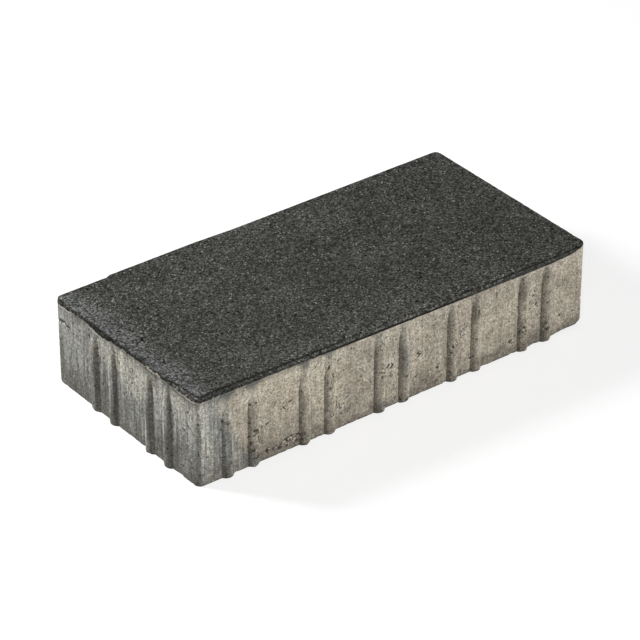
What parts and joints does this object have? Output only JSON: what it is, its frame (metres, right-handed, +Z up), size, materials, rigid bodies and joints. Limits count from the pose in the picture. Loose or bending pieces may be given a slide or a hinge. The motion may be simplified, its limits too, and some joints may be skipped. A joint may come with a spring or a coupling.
{
  "type": "paving block",
  "caption": "Rectangular two-layer concrete paving block: grey core with half-round spacer nibs on its sides and a dark fine-grained facing with a narrow bevel.",
  "frame": {"origin": "centre of the bed face, the flat underside that lies on the bedding", "axes": "+X along the block's length, +Y across its width, +Z up through the wearing face"},
  "size_m": [0.403, 0.203, 0.08],
  "materials": {
    "core_concrete": "rough vibrated concrete, grey-beige, with pores and upright drag marks",
    "facing_concrete": "fine-grained anthracite face mix, matt, with pale sand specks"
  },
  "bodies": {
    "root": {"backing_block": "core_concrete", "facing_layer": "facing_concrete"}
  },
  "joints": []
}
